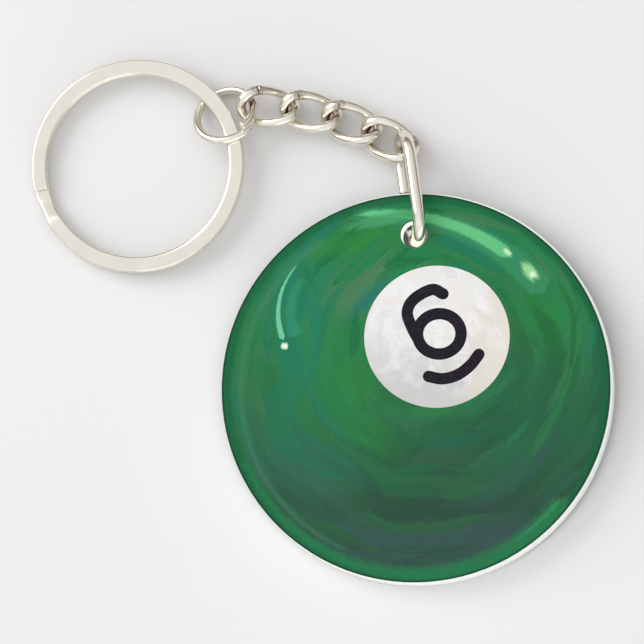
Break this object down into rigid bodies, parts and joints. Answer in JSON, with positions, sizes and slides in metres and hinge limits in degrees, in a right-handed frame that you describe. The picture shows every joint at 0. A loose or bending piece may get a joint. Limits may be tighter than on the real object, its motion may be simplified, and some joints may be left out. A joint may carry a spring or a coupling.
{
  "type": "keychain tag",
  "caption": "Round printed acrylic tag with a billiard-ball picture, hung from a split ring by a short curb chain.",
  "frame": {"origin": "centre of the tag's back face", "axes": "+Z out of the tag's front face, +Y from the tag's centre towards its hole, +X to the right as the front face is read"},
  "size_m": [0.0761, 0.0692, 0.0088],
  "materials": {
    "acrylic": "gloss white, cut edge",
    "print": "satin printed picture: green ball, white spot, black numeral",
    "nickel": "warm nickel plate on steel wire, fine scratches"
  },
  "bodies": {
    "tag": {"disc_core": "acrylic", "front_print": "print", "back_print": "print"},
    "connector": {"connector_ring": "nickel"},
    "link_4": {"curb_link_4": "nickel"},
    "link_3": {"curb_link_3": "nickel"},
    "link_2": {"curb_link_2": "nickel"},
    "link_1": {"curb_link_1": "nickel"},
    "jump": {"jump_ring": "nickel"},
    "keyring": {"split_ring": "nickel"}
  },
  "joints": [
    {"name": "connector_swing", "type": "hinge", "parent": "tag", "child": "connector", "pos_m": [-0.00033, 0.01996, 0.0016], "axis": [0, 0, 1], "range_deg": [-65, 15]},
    {"name": "link_4_fold", "type": "hinge", "parent": "connector", "child": "link_4", "pos_m": [-0.00085, 0.03105, -0.00029], "axis": [0.4939, 0.8685, -0.0425], "range_deg": [-18, 9]},
    {"name": "link_3_swing", "type": "hinge", "parent": "link_4", "child": "link_3", "pos_m": [-0.00632, 0.03419, -0.00108], "axis": [0.0098, -0.0525, -0.9986], "range_deg": [-14, 20]},
    {"name": "link_2_fold", "type": "hinge", "parent": "link_3", "child": "link_2", "pos_m": [-0.01153, 0.03615, -0.00128], "axis": [0.2045, 0.9777, -0.0478], "range_deg": [-28, 18]},
    {"name": "link_1_swing", "type": "hinge", "parent": "link_2", "child": "link_1", "pos_m": [-0.01698, 0.0373, -0.00094], "axis": [-0.2111, -0.0371, -0.9768], "range_deg": [-18, 19]},
    {"name": "jump_ring_swing", "type": "hinge", "parent": "link_1", "child": "jump", "pos_m": [-0.02321, 0.03762, 0.00032], "axis": [-0.2477, 0.4659, 0.8495], "range_deg": [-45, 20]},
    {"name": "key_ring_spin", "type": "hinge", "parent": "jump", "child": "keyring", "pos_m": [-0.03674, 0.02983, -0.00167], "axis": [-0.0421, 0.024, 0.9988], "continuous": true}
  ]
}
